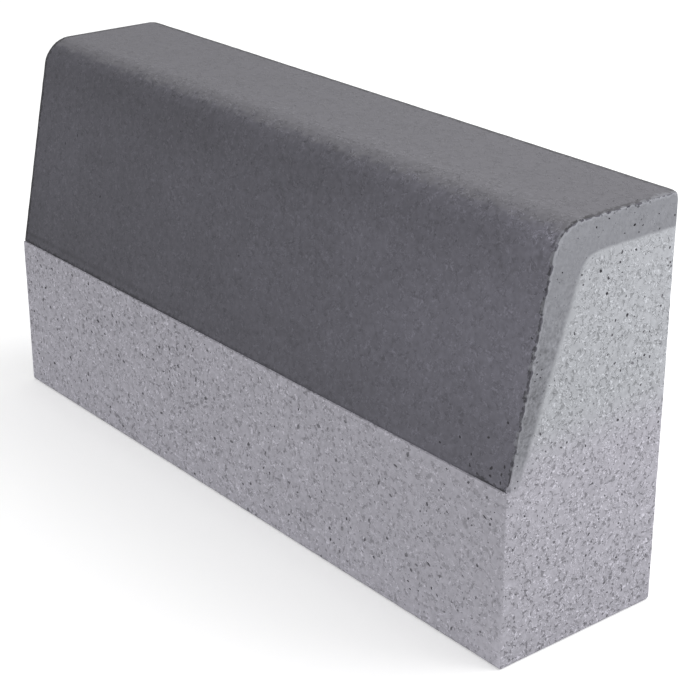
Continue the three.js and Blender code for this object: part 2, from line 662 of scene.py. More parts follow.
@dataclass
class LayerParting:
    """The space that the facing takes: everything in front of and above the face where the layers meet."""

    section: Section
    reach: float = 60.0
    seam_rise: float = 0.02
    corner_segments: int = 6
    grid: float = 9.0
    unevenness: float = 0.45
    unevenness_scale: float = 14.0
    even_foot: float = 2.0

    def build(self) -> Object:
        """Makes the parting solid, wavy where it runs inside the stone.

        Returns:
            A closed object, larger than the facing on its open sides.
        """
        s = self.section
        near, far, above = s.front - self.reach, s.back + self.reach, s.top + self.reach
        seam, foot = s.joint_height + self.seam_rise, s.front + s.ledge
        head_depth = s.facing_back(s.backing_top)
        corners = [
            (near, seam), (foot, seam), (foot + s.facing_foot, s.joint_height + s.foot_rise),
            (head_depth, s.backing_top), (far, s.backing_top), (far, above), (near, above),
        ]
        bm = prism(corners, s.left - self.reach, s.right + self.reach)
        round_long_edge(bm, head_depth, s.backing_top, s.inner_radius, self.corner_segments)
        cut_across(bm, Z_AXIS, evenly(s.joint_height, s.backing_top, self.grid))
        cut_across(bm, Y_AXIS, evenly(s.front, s.back, self.grid))
        cut_across(bm, X_AXIS, evenly(s.left, s.right, self.grid) + [s.left, s.right])
        for vert in bm.verts:
            inside = foot + self.even_foot < vert.co.y < far - NEARLY
            if inside and vert.co.z < s.backing_top + NEARLY:
                lift = noise.noise(vert.co / self.unevenness_scale) * self.unevenness
                vert.co += Vector((0.0, -lift, lift))
        return as_object(bm, "parting_solid")


# --- Finishes ---

Feed = float | Iterable[float] | Node | NodeSocket

# The property that holds a node's mode, by the node's kind.
MODES = {
    "Math": "operation", "VectorMath": "operation", "Mix": "data_type", "MapRange": "interpolation_type",
}
# How fine the noise is that draws the pores and sand, and the one that frays a border.
LATTICE = {"Detail": 1.0, "Roughness": 0.6}
FRAYED = {"Detail": 3.0, "Roughness": 0.6}
# Where a second noise is read, so that it doesn't follow the first.
ELSEWHERE = (37.0, 11.0, 53.0)
CONCRETE_IOR = 1.5
VOID_RELIEF_MM = 0.2


def linear_colour(srgb_hex: str) -> tuple[float, ...]:
    """Turns an sRGB colour into the linear one that the shaders take.

    Args:
        srgb_hex: six hex digits, such as "AFAEB5".

    Returns:
        Linear red, green, blue and an alpha of 1.
    """
    channels = [int(srgb_hex[start:start + 2], 16) / 255 for start in (0, 2, 4)]
    linear = [((c + 0.055) / 1.055) ** 2.4 if c > 0.04045 else c / 12.92 for c in channels]
    return (*linear, 1.0)


def past(place: float, ramp: Ramp) -> Ramp:
    """Moves a ramp's ends past a place."""
    near, far, *values = ramp
    return (place + near, place + far, *values)


BACKING_GREY = linear_colour("B5B3BC")
BACKING_HEAD_GREY = linear_colour("B4B6BB")
# The backing's void walls are greyer than its skin: painted shade in the pits, over the shade that their
# depth gives.
BACKING_SHADED_VOID = linear_colour("8E8D93")
FACING_EDGE_GREY = linear_colour("8F9096")
FACING_DARK = linear_colour("595860")
FACING_RUBBED = linear_colour("646368")
# The facing's void walls are darker too: painted shade in the pits.
FACING_SHADED_VOID = linear_colour("525156")
FLOOR_GREY = linear_colour("E4E4E4")
WHITE = linear_colour("FFFFFF")


class Nodes:
    """The node tree of a material or a world, emptied."""

    def __init__(self, owner: Material | World) -> None:
        """Turns the nodes on and clears them.

        Args:
            owner: the material or the world.
        """
        owner.use_nodes = True
        self.tree = owner.node_tree
        self.tree.nodes.clear()

    def add(self, kind: str, *feeds: Feed, **named_feeds: Feed) -> Node:
        """Adds one shader node, sets it and links it.

        Args:
            kind: the node's type name, without its ShaderNode, and its mode where it has one.
            feeds: for each open socket in order, a value, or the socket or node that feeds it.
            named_feeds: the same for more sockets, by their names, as in Base_Color.

        Returns:
            The new node.
        """
        kind, _, mode = kind.partition(" ")
        node = self.tree.nodes.new("ShaderNode" + kind)
        if mode:
            setattr(node, MODES[kind], mode)
        sockets = [socket for socket in node.inputs if socket.enabled]
        by_name = {socket.name.replace(" ", "_"): socket for socket in sockets}
        pairs = list(zip(sockets, feeds)) + [(by_name[name], feed) for name, feed in named_feeds.items()]
        for socket, feed in pairs:
            if isinstance(feed, Node):
                feed = next(output for output in feed.outputs if output.enabled)
            if isinstance(feed, NodeSocket):
                self.tree.links.new(feed, socket)
            else:
                socket.default_value = feed
        return node


class ConcreteNodes(Nodes):
    """The nodes of one concrete material, with the place on the stone that they read, in millimetres.

    A noise's scale is then one over its grain.
    """

    def __init__(self, name: str) -> None:
        """Starts a material.

        Args:
            name: the material's name.
        """
        self.material = bpy.data.materials.new(name)
        super().__init__(self.material)
        coords = self.add("TexCoord")
        self.where = self.add("VectorMath SCALE", coords.outputs["Object"], 1.0 / METRES_PER_MM)
        self.x, self.y, self.z = self.add("SeparateXYZ", self.where).outputs

    def wandering(
        self, level: float, swing: float, grain_mm: float, place: Node | None = None, **noise_feeds: Feed,
    ) -> Node:
        """A value that wanders about a level in spots.

        Args:
            level: the mean value.
            swing: how far the value can wander to each side.
            grain_mm: the size of the spots.
            place: where the noise is read, if not at the place on the stone.
            noise_feeds: more of the noise's sockets, such as its Detail.

        Returns:
            The value.
        """
        spots = self.add("TexNoise", place or self.where, 1.0 / grain_mm, **noise_feeds)
        return self.add("Math MULTIPLY_ADD", spots, 2.0 * swing, level - swing)

    def strengthened(self, tone: Feed, share: Feed, level: Feed = 1.0) -> Node:
        """A level plus a share of what a tone departs from 1."""
        departure = self.add("Math SUBTRACT", tone, 1.0)
        return self.add("Math MULTIPLY_ADD", departure, share, level)


@dataclass(frozen=True)
class Grain:
    """What a concrete's skin shows: dark pores and pale sand side by side, in patches between closed paste.

    The pores and sand of such mixes are 0.3 to 1 mm wide. They are drawn 1 to 2 mm wide, so that they still
    show when the whole stone is in view.
    """

    lattice_mm: float
    pore_loss: float
    sand_gain: float
    open_above: float
    fine_swing: float
    mottle_mm: float
    mottle_swing: float
    fine_mm: float = 1.8
    patch_mm: float = 5.0
    patch_edge: float = 0.1
    pores: Ramp = (0.42, 0.335)
    sand_level: float = 0.5
    sand: Ramp = (0.05, 0.015)
    warp: float = 1.2
    relief_share: float = 1.0
    mottle_warp: float = 0.0

    def build(self, nodes: ConcreteNodes) -> tuple[Node, Node]:
        """Builds the grain.

        Args:
            nodes: the material's nodes.

        Returns:
            The tone that multiplies the colour, and the height for the bump.
        """
        add, where = nodes.add, nodes.where
        lattice = add("TexNoise", where, 1.0 / self.lattice_mm, **LATTICE, Distortion=self.warp)
        pores = add("MapRange SMOOTHSTEP", lattice, *self.pores)
        off_sand = add("Math SUBTRACT", lattice, self.sand_level)
        sand = add("MapRange SMOOTHSTEP", add("Math ABSOLUTE", off_sand), *self.sand)
        elsewhere = add("VectorMath ADD", where, ELSEWHERE)
        patch = add("TexNoise", elsewhere, 1.0 / self.patch_mm, Detail=2.0)
        open_here = add("MapRange SMOOTHSTEP", patch, self.open_above, self.open_above + self.patch_edge)
        open_pores = add("Math MULTIPLY", pores, open_here)
        bare_sand = add("Math MULTIPLY", sand, open_here)
        fine = nodes.wandering(1.0, self.fine_swing, self.fine_mm, elsewhere, Detail=1.0)
        warp = self.mottle_warp
        mottle = nodes.wandering(1.0, self.mottle_swing, self.mottle_mm, Detail=3.0, Distortion=warp)
        base = add("Math MULTIPLY", fine, mottle)
        pored = add("Math MULTIPLY_ADD", open_pores, -self.pore_loss, base)
        tone = add("Math MULTIPLY_ADD", bare_sand, self.sand_gain, pored)
        rise = add("Math SUBTRACT", bare_sand, open_pores)
        return tone, add("Math MULTIPLY", rise, self.relief_share)


BACKING_GRAIN = Grain(
    lattice_mm=2.6, pore_loss=0.37, sand_gain=0.5, open_above=0.365, fine_swing=0.24,
    mottle_mm=24.0, mottle_swing=0.04, fine_mm=3.2, warp=0.8,
)
MOULDED_BACKING_GRAIN = Grain(
    lattice_mm=2.75, pore_loss=0.33, sand_gain=0.5, open_above=0.4, fine_swing=0.3,
    mottle_mm=24.0, mottle_swing=0.06, fine_mm=3.2, warp=0.5,
)
EDGE_GRAIN = Grain(
    lattice_mm=2.4, pore_loss=0.05, sand_gain=0.06, open_above=0.44, fine_swing=0.14,
    mottle_mm=6.5, mottle_swing=0.16, relief_share=0.25, mottle_warp=1.5,
)
FACING_GRAIN = Grain(
    lattice_mm=3.2, pore_loss=0.16, sand_gain=0.36, open_above=0.42, fine_swing=0.26,
    mottle_mm=7.0, mottle_swing=0.18, fine_mm=3.0,
)


@dataclass(frozen=True)
class OnStone:
    """What is drawn on the stone's section with the nodes of one material."""

    nodes: ConcreteNodes
    section: Section


@dataclass(frozen=True)
class Finish(OnStone):
    """What all the stone's skins share."""

    roughness: float = 0.93
    relief_mm: float = 0.3

    def finished(self, colour: Feed, height: Node) -> Material:
        """Closes the material with its surface and its bump.

        Args:
            colour: the colour.
            height: the relief, about 1 from pore to sand grain.

        Returns:
            The material.
        """
        add = self.nodes.add
        normal = add("Bump", Height=height, Distance=self.relief_mm * METRES_PER_MM, Strength=1.0)
        add("OutputMaterial", add(
            "BsdfPrincipled", Base_Color=colour, Roughness=self.roughness, IOR=CONCRETE_IOR, Normal=normal,
        ))
        return self.nodes.material


@dataclass(frozen=True)
class LayerBlend(OnStone):
    """Where the end of the stone shows backing and where facing, with the smeared border between them.

    The border is fairly crisp under the top, and the struck-off mix smears it down the batter.
    """

    border: Ramp = (-15.0, 0.0, 2.4, 1.1)
    ragged_mm: float = 9.0
    raggedness: float = 1.0
    corner_mm: float = 16.0
    above_plinth: float = 1.0
    open_grain: Ramp = (1.0, 6.5, 0.4, 1.0)
    nose_mm: float = 24.0
    # The pale strip along the facing's arris: scuffs, with a painted highlight on the end's side.
    scuffs_and_highlight: Ramp = (2.7, 1.9)
    lap: Ramp = (1.2, 0.8)
    arris_fray_mm: float = 3.0
    arris_grain_mm: float = 5.0

    def _depth_behind(self, foot: Pair, head: Pair, corner: float) -> Node:
        """How deep a spot of the end lies behind a batter line and under a level line.

        Args:
            foot: the depth and height where the batter line starts.
            head: the depth and height where it meets the level line.
            corner: how far the corner between both lines is rounded.

        Returns:
            The distance, 0 on the lines and positive inside them.
        """
        nodes, add = self.nodes, self.nodes.add
        slope = (head[0] - foot[0]) / (head[1] - foot[1])
        leaning = add("Math MULTIPLY_ADD", nodes.z, -slope, slope * foot[1] - foot[0])
        behind = add("Math ADD", nodes.y, leaning)
        inside = add("Math MULTIPLY", behind, 1.0 / math.hypot(1.0, slope))
        below = add("Math SUBTRACT", head[1], nodes.z)
        return add("Math SMOOTH_MIN", inside, below, corner)

    def share_of_backing(self) -> tuple[Node, Node]:
        """How much a spot belongs to the backing, from its place in the section.

        Returns:
            0 in the facing and 1 in the backing, and the share of the backing's grain that shows, which is
            low in the strip smeared smooth along the border.
        """
        nodes, add, s = self.nodes, self.nodes.add, self.section
        low, high = s.joint_height + s.foot_rise, s.backing_top
        foot, head = (s.facing_back(low), low), (s.facing_back(high), high)
        core = self._depth_behind(foot, head, self.corner_mm)
        plinth = add("Math SUBTRACT", s.joint_height + self.above_plinth, nodes.z)
        depth = add("Math MAXIMUM", core, plinth)
        border = add("Math ADD", depth, nodes.wandering(0.0, self.raggedness, self.ragged_mm, Detail=2.0))
        half_width = add("MapRange", nodes.z, *past(high, self.border))
        share = add("MapRange SMOOTHSTEP", add("Math DIVIDE", border, half_width), -1.0, 1.0)
        return share, add("MapRange", border, *self.open_grain)

    def scuffed_and_lit_arris(self) -> tuple[Node, Node]:
        """Where the facing's arris is scuffed pale with a painted highlight, and where its dark skin laps
        over, in broken stretches.

        Returns:
            For the scuffs with their painted highlight and for the skin, 1 along the arris and 0 away from
            it.
        """
        nodes, add, s = self.nodes, self.nodes.add, self.section
        foot, head = (s.front + s.ledge, s.joint_height), (s.batter_head, s.top)
        depth = self._depth_behind(foot, head, self.nose_mm)
        worn = nodes.wandering(0.0, -self.arris_fray_mm, self.arris_grain_mm, Detail=2.0)
        reach = add("Math ADD", depth, worn)
        scuffed = add("MapRange SMOOTHSTEP", reach, *self.scuffs_and_highlight)
        return scuffed, add("MapRange SMOOTHSTEP", reach, *self.lap)


@dataclass(frozen=True)
class FacingWearAndLight(OnStone):
    """How the facing's skin changes from place to place, with painted light and shade among its wear.

    Paste gathers dark along the ends' arrises, dark lines run along the joint and the back's arris, and
    the top is rubbed paler and smoother than the batter. A painted sheen makes the batter and the top
    paler towards the right end, and painted shade darkens the batter just under the nose.
    """

    # Painted sheen: the batter and the top get paler towards the right end.
    sheen_gain: float = 0.64
    left_tone: float = 0.925
    top_sheen_gain: float = 0.08
    # Painted shade on the batter just under the nose.
    shade_under_nose: Ramp = (-50.0, -20.0, 1.0, 0.89)
    foot: Ramp = (70.0, 0.0)
    foot_loss: float = 0.165
    mid_foot_gain: float = 0.115
    cloud_mm: float = 48.0
    cloud_swing: float = 0.16
    stain_loss: float = 0.7
    drift_mm: float = 22.0
    drift: Ramp = (0.36, 0.55, 0.68, 1.0)
    fray_mm: float = 2.0
    fray_grain_mm: float = 2.4
    fray_edge: Ramp = (0.5, -0.5)
    end_stain_mm: float = 1.25
    left_extra_mm: float = 2.25
    top_extra_mm: float = 1.35
    past_nose: Ramp = (14.0, 34.0)
    end_share: Ramp = (0.0, 1.0, 1.0, 0.8)
    far_top: Ramp = (45.0, 80.0, 1.0, 0.2)
    back_line: Pair = (4.4, 0.7)
    joint_line_mm: float = 1.9
    by_corner: Ramp = (-36.0, -18.0)
    line_height: float = 7.0
    line: Ramp = (2.2, 0.4)
    line_end: float = 100.0
    line_loss: float = 0.26
    rubbed_mm: float = 1.7
    rubbed_back: Ramp = (-30.0, 0.0, 3.4, 0.0)
    rubbed_grain_mm: float = 5.0
    rubbed_share: float = 0.5
    nose_grain_mm: float = 3.4
    nose_stretch: Triple = (0.5, 1.0, 1.0)
    nose_fray_mm: float = 5.0
    nose_border: Ramp = (-6.9, -1.5)

    def _stain(self, distance: Feed, wobble: Node, width: float) -> Node:
        """A frayed dark band along an arris.

        Args:
            distance: how far a spot is from the arris.
            wobble: the noise that frays the band.
            width: the band's mean width.

        Returns:
            1 in the band and 0 away from it.
        """
        frayed = self.nodes.add("Math MULTIPLY_ADD", wobble, 4.0 * self.fray_mm, distance)
        middle = width + 2.0 * self.fray_mm
        return self.nodes.add("MapRange SMOOTHSTEP", frayed, *past(middle, self.fray_edge))

    def top_share(self) -> Node:
        """How much a spot belongs to the rubbed top, with a mottled border along the nose.

        Returns:
            0 on the batter and 1 on the top.
        """
        nodes, add = self.nodes, self.nodes.add
        drawn_out = add("VectorMath MULTIPLY", nodes.where, self.nose_stretch)
        wobble = add("TexNoise", drawn_out, 1.0 / self.nose_grain_mm, **FRAYED)
        edge = add("Math MULTIPLY_ADD", wobble, 2.0 * self.nose_fray_mm, nodes.z)
        border = past(self.section.top + self.nose_fray_mm, self.nose_border)
        return add("MapRange SMOOTHSTEP", edge, *border)

    def rubbed_corner(self) -> Node:
        """Where the upper arris of the right end is rubbed pale, towards the back.

        Returns:
            More than 0 in the rubbed strip and 0 away from it.
        """
        nodes, add, s = self.nodes, self.nodes.add, self.section
        wobble = add("TexNoise", nodes.where, 1.0 / self.rubbed_grain_mm, **FRAYED)
        from_right = add("Math SUBTRACT", s.right, nodes.x)
        widening = add("MapRange", nodes.y, *past(s.back, self.rubbed_back))
        half_reach = add("Math MULTIPLY", add("Math ADD", from_right, widening), 0.5)
        strip = self._stain(half_reach, wobble, self.rubbed_mm)
        return add("Math MULTIPLY", strip, self.rubbed_share)

    def tone(self, on_top: Node) -> Node:
        """Builds the tone of the whole skin.

        Args:
            on_top: the share of the rubbed top.

        Returns:
            What multiplies the facing's colour.
        """
        nodes, add, s = self.nodes, self.nodes.add, self.section
        along = add("MapRange", nodes.x, s.left, s.right)
        squared = add("Math MULTIPLY", along, along)
        cubed = add("Math MULTIPLY", squared, along)
        # Painted sheen that pales the batter towards the right end.
        batter_tone = add("Math MULTIPLY_ADD", cubed, self.sheen_gain, self.left_tone)
        # Painted shade on the batter just under the nose.
        shade_under_nose = add("MapRange SMOOTHSTEP", nodes.z, *past(s.top, self.shade_under_nose))
        mid_length = add("Math SUBTRACT", along, squared)
        foot_loss = add("Math MULTIPLY_ADD", mid_length, 4.0 * self.mid_foot_gain, -self.foot_loss)
        foot_share = add("MapRange", nodes.z, *past(s.joint_height, self.foot))
        at_foot = add("Math MULTIPLY_ADD", foot_share, foot_loss, 1.0)
        clouded = nodes.wandering(1.0, self.cloud_swing, self.cloud_mm, Detail=3.0)
        for change in (shade_under_nose, at_foot, clouded):
            batter_tone = add("Math MULTIPLY", batter_tone, change)
        # Painted sheen that pales the top towards the right end.
        top_tone = add("Math MULTIPLY_ADD", squared, self.top_sheen_gain, 1.0)
        clean = add("Mix", on_top, batter_tone, top_tone)
        return add("Math MULTIPLY", clean, self._stained())

    def _stained(self) -> Node:
        """The dark bands along the ends, the back and the joint, and the thin second line above the joint.

        Returns:
            What multiplies the clean tone.
        """
        nodes, add, s = self.nodes, self.nodes.add, self.section
        from_left = add("Math SUBTRACT", nodes.x, s.left + self.left_extra_mm)
        from_end = add("Math MINIMUM", from_left, add("Math SUBTRACT", s.right, nodes.x))
        past_nose = add("MapRange", nodes.y, *past(s.batter_head, self.past_nose))
        end_reach = add("Math MULTIPLY_ADD", past_nose, -self.top_extra_mm, from_end)
        end_share = add("MapRange", past_nose, *self.end_share)
        fades_back = add("MapRange", nodes.y, *past(s.batter_head, self.far_top))
        at_ends = add("Math MULTIPLY", end_share, fades_back)
        from_back = add("Math SUBTRACT", s.back, nodes.y)
        above_joint = add("Math SUBTRACT", nodes.z, s.joint_height)
        fades_right = add("MapRange", nodes.x, s.left, s.right, 1.0, 0.0)
        at_joint = add("Math MAXIMUM", fades_right, add("MapRange", nodes.x, *past(s.right, self.by_corner)))
        wobble = add("TexNoise", nodes.where, 1.0 / self.fray_grain_mm, **FRAYED)
        darkest = 0.0
        for distance, width, share in (
            (end_reach, self.end_stain_mm, at_ends),
            (from_back, *self.back_line),
            (above_joint, self.joint_line_mm, at_joint),
        ):
            line = add("Math MULTIPLY", self._stain(distance, wobble, width), share)
            darkest = add("Math MAXIMUM", line, darkest)
        drift = add("TexNoise", nodes.where, 1.0 / self.drift_mm, Detail=1.0)
        strength = add("MapRange", drift, *self.drift)
        stains = add("Math MULTIPLY", darkest, strength)
        stained = add("Math MULTIPLY_ADD", stains, -self.stain_loss, 1.0)
        off_line = add("Math SUBTRACT", above_joint, self.line_height)
        second_line = add("MapRange", add("Math ABSOLUTE", off_line), *self.line)
        left_part = add("MapRange", nodes.x, self.line_end, s.left, 0.0, -self.line_loss)
        return add("Math MULTIPLY_ADD", second_line, left_part, stained)


@dataclass(frozen=True)
class StruckEnd(Finish):
    """Both concretes where the stone's ends show them: semi-dry mix struck off by the mould's end plates.

    The open, sandy texture scatters light evenly, so that it looks matt.
    """

    # Painted light on the backing's end: paler towards its head, and paler towards its back the higher up it
    # is.
    foot_tone: float = 0.872
    rise_per_mm: float = 0.00072
    back_at_foot: float = 0.0001
    back_per_mm: float = 0.0009
    foot_grain: float = 1.24
    head_grain: float = 0.66
    smear_loss: float = 0.07
    # Painted highlight along the end's front arris.
    arris_highlight: Ramp = (5.5, 1.0, 1.0, 1.05)
    head_hue: Ramp = (0.0, 40.0)
    edge_foot_tone: float = 0.775
    edge_foot_mm: float = 40.0
    edge_head_mm: float = 10.0
    mottle: Ramp = (-30.0, -70.0, 1.0, 3.3)
    # How much the scuffs and the painted highlight pale the facing's edge.
    scuff_and_highlight_gain: float = 0.22
    smeared_foot: Ramp = (22.0, 4.0, 0.0, 0.6)

    def build(self) -> Material:
        """Makes the material, with the backing inside and the dark mortar's mid-grey edge outside.

        Returns:
            The material.
        """
        nodes, add, joint = self.nodes, self.nodes.add, self.section.joint_height
        blend = LayerBlend(nodes, self.section)
        inside, open_grain = blend.share_of_backing()
        scuffed, lapped = blend.scuffed_and_lit_arris()
        backing = add("Math MAXIMUM", inside, add("MapRange", nodes.z, *past(joint, self.smeared_foot)))
        core_tone, core_height = self._core(open_grain)
        edge_tone, edge_height = self._edge(scuffed)
        tone = add("Mix", backing, edge_tone, core_tone)
        height = add("Mix", backing, edge_height, core_height)
        at_head = add("MapRange SMOOTHSTEP", nodes.z, *past(joint, self.head_hue))
        core_hue = add("Mix RGBA", at_head, BACKING_GREY, BACKING_HEAD_GREY)
        edge_hue = add("Mix RGBA", lapped, FACING_EDGE_GREY, FACING_DARK)
        hue = add("Mix RGBA", backing, edge_hue, core_hue)
        return self.finished(add("VectorMath SCALE", hue, tone), height)

    def _core(self, open_grain: Node) -> tuple[Node, Node]:
        """The backing: open and coarse at the foot, calmer towards its head and paler there by painted
        light.

        Args:
            open_grain: the share of its grain that shows.

        Returns:
            Its tone and its height.
        """
        nodes, add, s = self.nodes, self.nodes.add, self.section
        grain_tone, grain_height = BACKING_GRAIN.build(nodes)
        strength = add("MapRange", nodes.z, 0.0, s.top, self.foot_grain, self.head_grain)
        shown = add("Math MULTIPLY", strength, open_grain)
        # Painted highlight along the front arris.
        arris_highlight = add("MapRange", nodes.y, *past(s.front, self.arris_highlight))
        grain = nodes.strengthened(grain_tone, shown, arris_highlight)
        # Painted light: paler towards the head and towards the back.
        back_slope = add("Math MULTIPLY_ADD", nodes.z, self.back_per_mm / s.top, self.back_at_foot)
        rise = add("Math MULTIPLY_ADD", nodes.z, self.rise_per_mm, self.foot_tone)
        lift = add("Math MULTIPLY_ADD", nodes.y, back_slope, rise)
        smeared = add("Math MULTIPLY_ADD", open_grain, self.smear_loss, 1.0 - self.smear_loss)
        tone = add("Math MULTIPLY", grain, add("Math MULTIPLY", lift, smeared))
        return tone, add("Math MULTIPLY", grain_height, open_grain)

    def _edge(self, scuffed: Node) -> tuple[Node, Node]:
        """The facing's cut edge: calm under the top, mottled and darker down the batter.

        Args:
            scuffed: where its arris is scuffed pale, with a painted highlight.

        Returns:
            Its tone and its height.
        """
        nodes, add, s = self.nodes, self.nodes.add, self.section
        grain_tone, height = EDGE_GRAIN.build(nodes)
        grain = nodes.strengthened(grain_tone, add("MapRange", nodes.z, *past(s.top, self.mottle)))
        # Scuffs and a painted highlight along the arris.
        scuffed_and_lit_tone = add("Math MULTIPLY_ADD", scuffed, self.scuff_and_highlight_gain, grain)
        low, high = s.joint_height + self.edge_foot_mm, s.top - self.edge_head_mm
        lift = add("MapRange", nodes.z, low, high, self.edge_foot_tone, 1.0)
        return add("Math MULTIPLY", scuffed_and_lit_tone, lift), height


@dataclass(frozen=True)
class MouldedBacking(Finish):
    """Semi-dry backing concrete pressed against a steel mould: open, sandy and quite matt."""

    shade: tuple[float, ...] = BACKING_GREY
    grain: Grain = MOULDED_BACKING_GRAIN
    # Painted light: paler at the foot and darker at the head, evening out the shade that the floor gives the
    # foot.
    foot: Ramp = (0.0, 100.0, 1.03, 0.913)
    rim: Ramp = (-2.6, 0.0, 0.0, 0.07)
    above_rim: float = 0.5
    # More painted light at the foot, growing towards the right end.
    lit_right_foot: Ramp = (34.0, 0.0, 0.0, 0.1)
    right_tone: Ramp = (0.7, 1.0, 1.0, 0.97)
    right_grain: Ramp = (0.5, 1.0, 1.0, 0.66)
    # Darker along the left end's arris and the lowest arris; on the lowest, which faces down, this is
    # painted shade.
    shaded_arris: Ramp = (2.0, 0.6, 1.0, 0.82)

    def build(self) -> Material:
        """Makes the material from its shade and grain, paler towards its foot by painted light and on the
        rim at the joint.

        Returns:
            The material.
        """
        nodes, add, s = self.nodes, self.nodes.add, self.section
        grain_tone, height = self.grain.build(nodes)
        along = add("MapRange", nodes.x, s.left, s.right)
        # Painted light, paler towards the foot.
        lit_foot = add("MapRange", nodes.z, *self.foot)
        rim = add("MapRange", nodes.z, *past(s.joint_height, self.rim))
        on_plinth = add("Math LESS_THAN", nodes.z, s.joint_height + self.above_rim)
        pale_rim = add("Math MULTIPLY_ADD", rim, on_plinth, lit_foot)
        # More painted light at the foot towards the right end.
        lit_right_foot = add("MapRange", nodes.z, *self.lit_right_foot)
        level = add("Math MULTIPLY_ADD", lit_right_foot, along, pale_rim)
        at_right = add("MapRange", along, *self.right_tone)
        # Painted shade on the lowest arris, and a darker left end arris.
        from_arris = add("Math MINIMUM", add("Math SUBTRACT", nodes.x, s.left), nodes.z)
        arris_shade = add("MapRange", from_arris, *self.shaded_arris)
        tone = nodes.strengthened(grain_tone, add("MapRange", along, *self.right_grain))
        for change in (level, at_right, arris_shade):
            tone = add("Math MULTIPLY", tone, change)
        return self.finished(add("VectorMath SCALE", self.shade[:3], tone), height)


@dataclass(frozen=True)
class MouldedFacing(Finish):
    """Fine dark mortar pressed against a steel mould: closed and smooth, with a faint low sheen."""

    roughness: float = 0.8
    relief_mm: float = 0.15
    calm: float = 0.6
    scuff_from_end: float = 8.0
    scuff_drop: float = 12.0
    scuff: Ramp = (11.0, 4.4, 1.0, 2.4)
    nose_specks: Ramp = (0.0, 110.0, 0.0, 1.1)
    before_top: Ramp = (36.0, 22.0)
    above_batter: Ramp = (-8.0, -3.5)

    def build(self) -> Material:
        """Makes the material from its shades, grain, wear and painted light.

        Returns:
            The material.
        """
        nodes, add = self.nodes, self.nodes.add
        # Its wear, together with the painted sheen and the painted shade under the nose.
        wear_and_light = FacingWearAndLight(nodes, self.section)
        grain_tone, height = FACING_GRAIN.build(nodes)
        on_top = wear_and_light.top_share()
        calmed = add("Mix", add("Math MULTIPLY", on_top, self.calm), grain_tone, 1.0)
        grain = nodes.strengthened(calmed, self._speckled())
        tone = add("Math MULTIPLY", grain, wear_and_light.tone(on_top))
        hue = add("Mix RGBA", on_top, FACING_DARK, FACING_RUBBED)
        skin = add("VectorMath SCALE", hue, tone)
        colour = add("Mix RGBA", wear_and_light.rubbed_corner(), skin, FACING_EDGE_GREY)
        return self.finished(colour, height)

    def _speckled(self) -> Node:
        """How strong the grain is: stronger along the nose, and most where its right end is scuffed.

        Returns:
            What multiplies the grain.
        """
        nodes, add, s = self.nodes, self.nodes.add, self.section
        nose_end = (s.right - self.scuff_from_end, s.batter_head, s.top - self.scuff_drop)
        from_scuff = add("VectorMath DISTANCE", nodes.where, nose_end)
        scuffed = add("MapRange", from_scuff, *self.scuff)
        before_top = add("MapRange", nodes.y, *past(s.batter_head, self.before_top))
        above_batter = add("MapRange", nodes.z, *past(s.top, self.above_batter))
        on_nose = add("Math MINIMUM", before_top, above_batter)
        gain = add("MapRange", nodes.x, *past(s.left, self.nose_specks))
        return add("Math MULTIPLY_ADD", on_nose, gain, scuffed)


# --- The stone's two pieces ---


